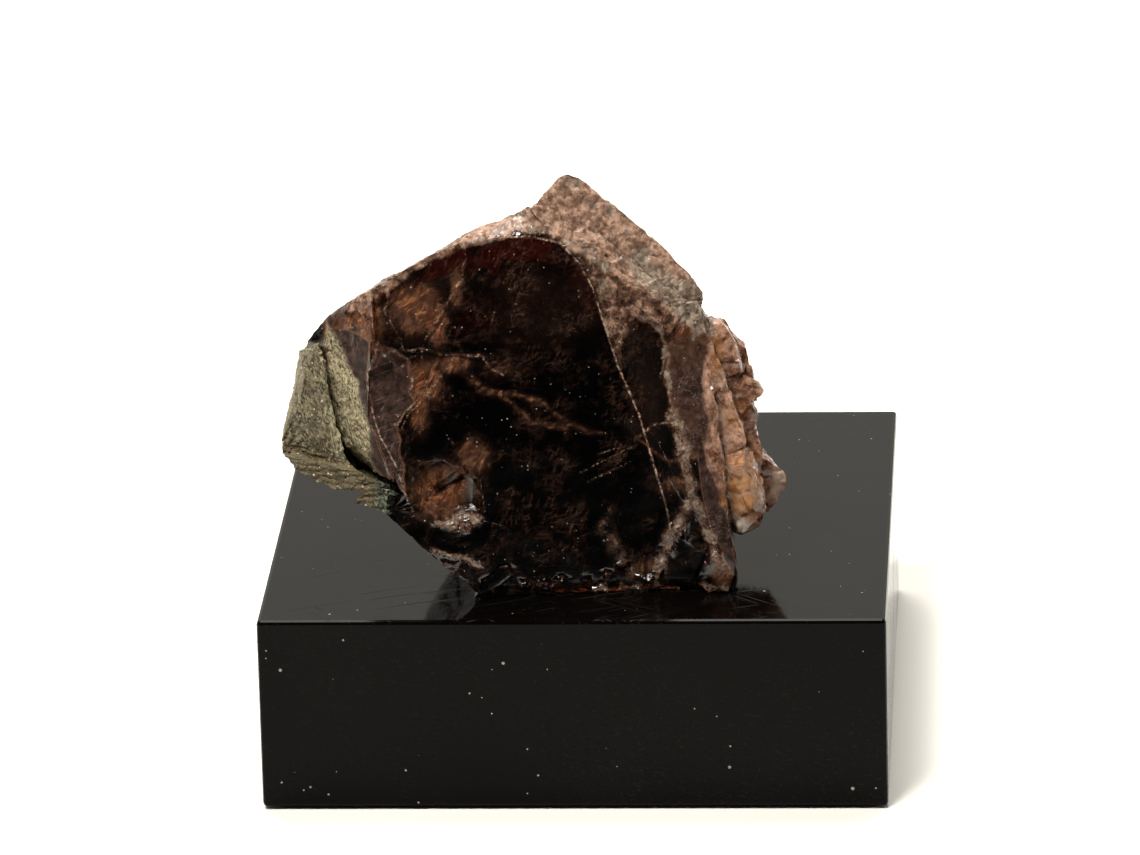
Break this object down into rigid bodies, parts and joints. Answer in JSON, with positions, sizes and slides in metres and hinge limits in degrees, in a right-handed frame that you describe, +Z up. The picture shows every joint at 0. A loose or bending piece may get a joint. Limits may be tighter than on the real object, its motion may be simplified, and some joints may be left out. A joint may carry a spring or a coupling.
{
  "type": "axinite crystal specimen on a display block",
  "caption": "Clove-brown axinite crystal with a chip of grey-green matrix, standing upright on a square black acrylic display block.",
  "frame": {"origin": "middle of the display block's underside", "axes": "+Z up, +X to the right of the large dark crystal face, -Y the side that this face looks to"},
  "size_m": [0.04, 0.04, 0.039],
  "materials": {
    "axinite": "vitreous, see-through clove brown, frosted and pinkish on its broken edges",
    "schist": "dull, fine grained grey-green rock",
    "black_acrylic": "polished gloss black with fine scratches"
  },
  "bodies": {
    "root": {"axinite_crystal": "axinite", "matrix_rock": "schist", "display_block": "black_acrylic"}
  },
  "joints": []
}
